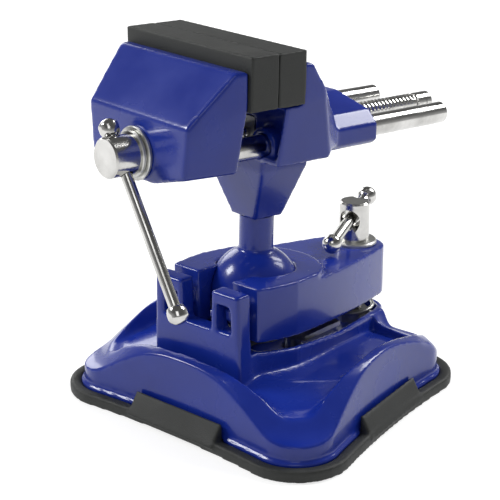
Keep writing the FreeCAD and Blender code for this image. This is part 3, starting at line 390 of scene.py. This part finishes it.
ballLook["profile"] = ballProfile(ballLook["radius"], ballLook["startAngle"], ballLook["arcSteps"])
barMiddle = Vector(ballLook["middle"])
barWay = Vector(ballLook["way"]).normalized()
turnKnobs("clampBarBalls", "clamp_bar", ["clamp_bar_balls"], [
    (barMiddle - barWay * ballLook["near"], -barWay),
    (barMiddle + barWay * ballLook["far"], barWay),
], ballLook)
print("knobs turned")


# A screw with a real thread: the solid's plain shaft drawn in to the core, with the ridge wound round it
def cutThread(name, start, way, look):
    across = way.orthogonal().normalized()
    bm = bmesh.new()
    bm.from_mesh(nodes[name].data)
    bmesh.ops.remove_doubles(bm, verts=bm.verts, dist=edgeLook["weld"])
    for vert in bm.verts:
        along = (vert.co - start).dot(way)
        out = vert.co - start - way * along
        onShaft = abs(out.length - look["radius"]) < look["near"]
        if onShaft and look["shaftFrom"] < along < look["shaftTo"]:
            vert.co = start + way * along + out.normalized() * look["core"]
    foot = look["core"] - look["sunk"]
    rows = (
        (-look["footHalf"], foot), (-look["crestHalf"], look["radius"]),
        (look["crestHalf"], look["radius"]), (look["footHalf"], foot),
    )
    first = start + way * look["from"]
    ring = [bm.verts.new(first + way * (look["pitch"] * s) + across * r) for s, r in rows]
    edges = [bm.edges.new((ring[i], ring[(i + 1) % 4])) for i in range(4)]
    turns = (look["to"] - look["from"]) / look["pitch"]
    steps = int(turns * look["sides"])
    wound = bmesh.ops.spin(
        bm, geom=edges, cent=start, axis=way, dvec=way * (look["to"] - look["from"]) / steps,
        angle=math.tau * turns, steps=steps, use_merge=False, use_normal_flip=False, use_duplicate=False,
    )
    ends = edges + [item for item in wound["geom_last"] if isinstance(item, bmesh.types.BMEdge)]
    bmesh.ops.holes_fill(bm, edges=ends, sides=4)
    bmesh.ops.recalc_face_normals(bm, faces=bm.faces)
    mesh = bpy.data.meshes.new(name + "Threaded")
    bm.to_mesh(mesh)
    bm.free()
    addSmooth(newPiece(name + "Threaded", mesh, look["body"], [name], slotOf[name]))
    print(name, len(mesh.polygons), "faces")


# Lengths run along the screw from its start; the ridge's half widths are shares of the pitch
leadThread = {
    "body": "lead_screw", "radius": 0.0040, "core": 0.0034, "pitch": 0.002, "sides": 28,
    "footHalf": 0.46, "crestHalf": 0.10, "sunk": 0.0003, "near": 0.00006,
    "height": 0.0629, "from": -0.033, "to": 0.0810, "shaftFrom": -0.061, "shaftTo": 0.0820,
}
leadStart = headMatrix @ Vector((0, 0, leadThread["height"]))
leadWay = headMatrix.to_3x3() @ Vector((0, 1, 0))
cutThread("lead_screw", leadStart, leadWay, leadThread)
clampThread = {
    "body": "clamp_screw", "radius": 0.0040, "core": 0.0035, "pitch": 0.00125, "sides": 24,
    "footHalf": 0.46, "crestHalf": 0.10, "sunk": 0.0003, "near": 0.00006,
    "foot": (0, 0.05, 0), "from": 0.0140, "to": 0.0465, "shaftFrom": 0.0130, "shaftTo": 0.0512,
}
cutThread("clamp_screw", Vector(clampThread["foot"]), Vector((0, 0, 1)), clampThread)
print("threads cut")

# Floor, light and camera
floorLook = {"size": 6.0, "color": (0.55, 0.55, 0.55), "rough": 0.9, "glow": 0.62}
floorMesh = bpy.data.meshes.new("floor")
bm = bmesh.new()
bmesh.ops.create_grid(bm, x_segments=1, y_segments=1, size=floorLook["size"])
bm.to_mesh(floorMesh)
bm.free()
floor = bpy.data.objects.new("floor", floorMesh)
bpy.context.scene.collection.objects.link(floor)


# 1 for the rays that should meet a white ground: the camera's, mirrored ones and those through glass
def seenRays(tree):
    path = tree.nodes.new("ShaderNodeLightPath")
    total = path.outputs["Is Camera Ray"]
    for name in ("Is Glossy Ray", "Is Transmission Ray"):
        either = tree.nodes.new("ShaderNodeMath")
        either.operation = "MAXIMUM"
        tree.links.new(total, either.inputs[0])
        tree.links.new(path.outputs[name], either.inputs[1])
        total = either.outputs["Value"]
    return total


floorMat = bpy.data.materials.new("floorPale")
floorMat.use_nodes = True
floorTree = floorMat.node_tree
floorShader = floorTree.nodes["Principled BSDF"]
floorShader.inputs["Base Color"].default_value = (*floorLook["color"], 1)
floorShader.inputs["Roughness"].default_value = floorLook["rough"]
floorShader.inputs["Specular IOR Level"].default_value = 0.0
floorShader.inputs["Emission Color"].default_value = (1, 1, 1, 1)
glow = addRange(floorTree, seenRays(floorTree), 0, floorLook["glow"], 0, 1)
floorTree.links.new(glow, floorShader.inputs["Emission Strength"])
floorMesh.materials.append(floorMat)

# The world is white where the camera looks, and a dark ceiling over a pale horizon in reflections
studioLook = {"white": 1.0, "fill": 0.40, "horizon": 0.46, "ceiling": 0.11, "low": 0.05, "high": 0.45}
world = bpy.data.worlds.new("studio")
bpy.context.scene.world = world
world.use_nodes = True
worldTree = world.node_tree
back = worldTree.nodes["Background"]
back.inputs["Color"].default_value = (1, 1, 1, 1)
rays = worldTree.nodes.new("ShaderNodeLightPath")
sky = worldTree.nodes.new("ShaderNodeTexCoord")
skyHeight = worldTree.nodes.new("ShaderNodeSeparateXYZ")
worldTree.links.new(sky.outputs["Generated"], skyHeight.inputs["Vector"])
mirrored = addRange(
    worldTree, skyHeight.outputs["Z"], studioLook["horizon"], studioLook["ceiling"],
    studioLook["low"], studioLook["high"],
)


def feed(tree, socket, value):
    if isinstance(value, float):
        socket.default_value = value
    else:
        tree.links.new(value, socket)


# One level for the named kind of ray, and the other for all the rest
def pickLevel(tree, ray, level, other):
    mix = tree.nodes.new("ShaderNodeMix")
    tree.links.new(rays.outputs[ray], mix.inputs["Factor"])
    feed(tree, mix.inputs["A"], other)
    feed(tree, mix.inputs["B"], level)
    return mix.outputs["Result"]


level = pickLevel(worldTree, "Is Glossy Ray", mirrored, studioLook["fill"])
level = pickLevel(worldTree, "Is Transmission Ray", studioLook["white"], level)
level = pickLevel(worldTree, "Is Camera Ray", studioLook["white"], level)
worldTree.links.new(level, back.inputs["Strength"])

lampAim = (0, 0, 0.07)
lamps = {
    "keyLamp": {"place": (-1.0, -0.72, 0.9), "size": 0.4, "power": 11.0},
    "leftLamp": {"place": (-1.25, 0.45, 0.55), "size": 0.6, "power": 4.5},
    "rimLamp": {"place": (0.30, 1.10, 1.05), "size": 0.6, "power": 14.0},
    "frontLamp": {"place": (0.9, -1.1, 1.1), "size": 0.7, "power": 2.5},
}
for name, lamp in lamps.items():
    data = bpy.data.lights.new(name, "AREA")
    data.energy = lamp["power"]
    data.size = lamp["size"]
    obj = bpy.data.objects.new(name, data)
    obj.location = lamp["place"]
    aim = Vector(lampAim) - Vector(lamp["place"])
    obj.rotation_euler = aim.to_track_quat("-Z", "Y").to_euler()
    bpy.context.scene.collection.objects.link(obj)

cameraLook = {
    "place": (0.36904, -0.42676, 0.2601), "pitch": 19.49, "turn": 41.84,
    "lens": 110.04, "sensor": 36.0, "shift": (-0.00098, -0.00846),
}
cameraData = bpy.data.cameras.new("camera")
cameraData.lens = cameraLook["lens"]
cameraData.sensor_width = cameraLook["sensor"]
cameraData.shift_x, cameraData.shift_y = cameraLook["shift"]
cameraData.clip_start = 0.01
camera = bpy.data.objects.new("camera", cameraData)
camera.location = cameraLook["place"]
camera.rotation_euler = (math.radians(90 - cameraLook["pitch"]), 0, math.radians(cameraLook["turn"]))
bpy.context.scene.collection.objects.link(camera)
bpy.context.scene.camera = camera
bpy.context.scene.view_settings.view_transform = "Standard"
print("stage set")
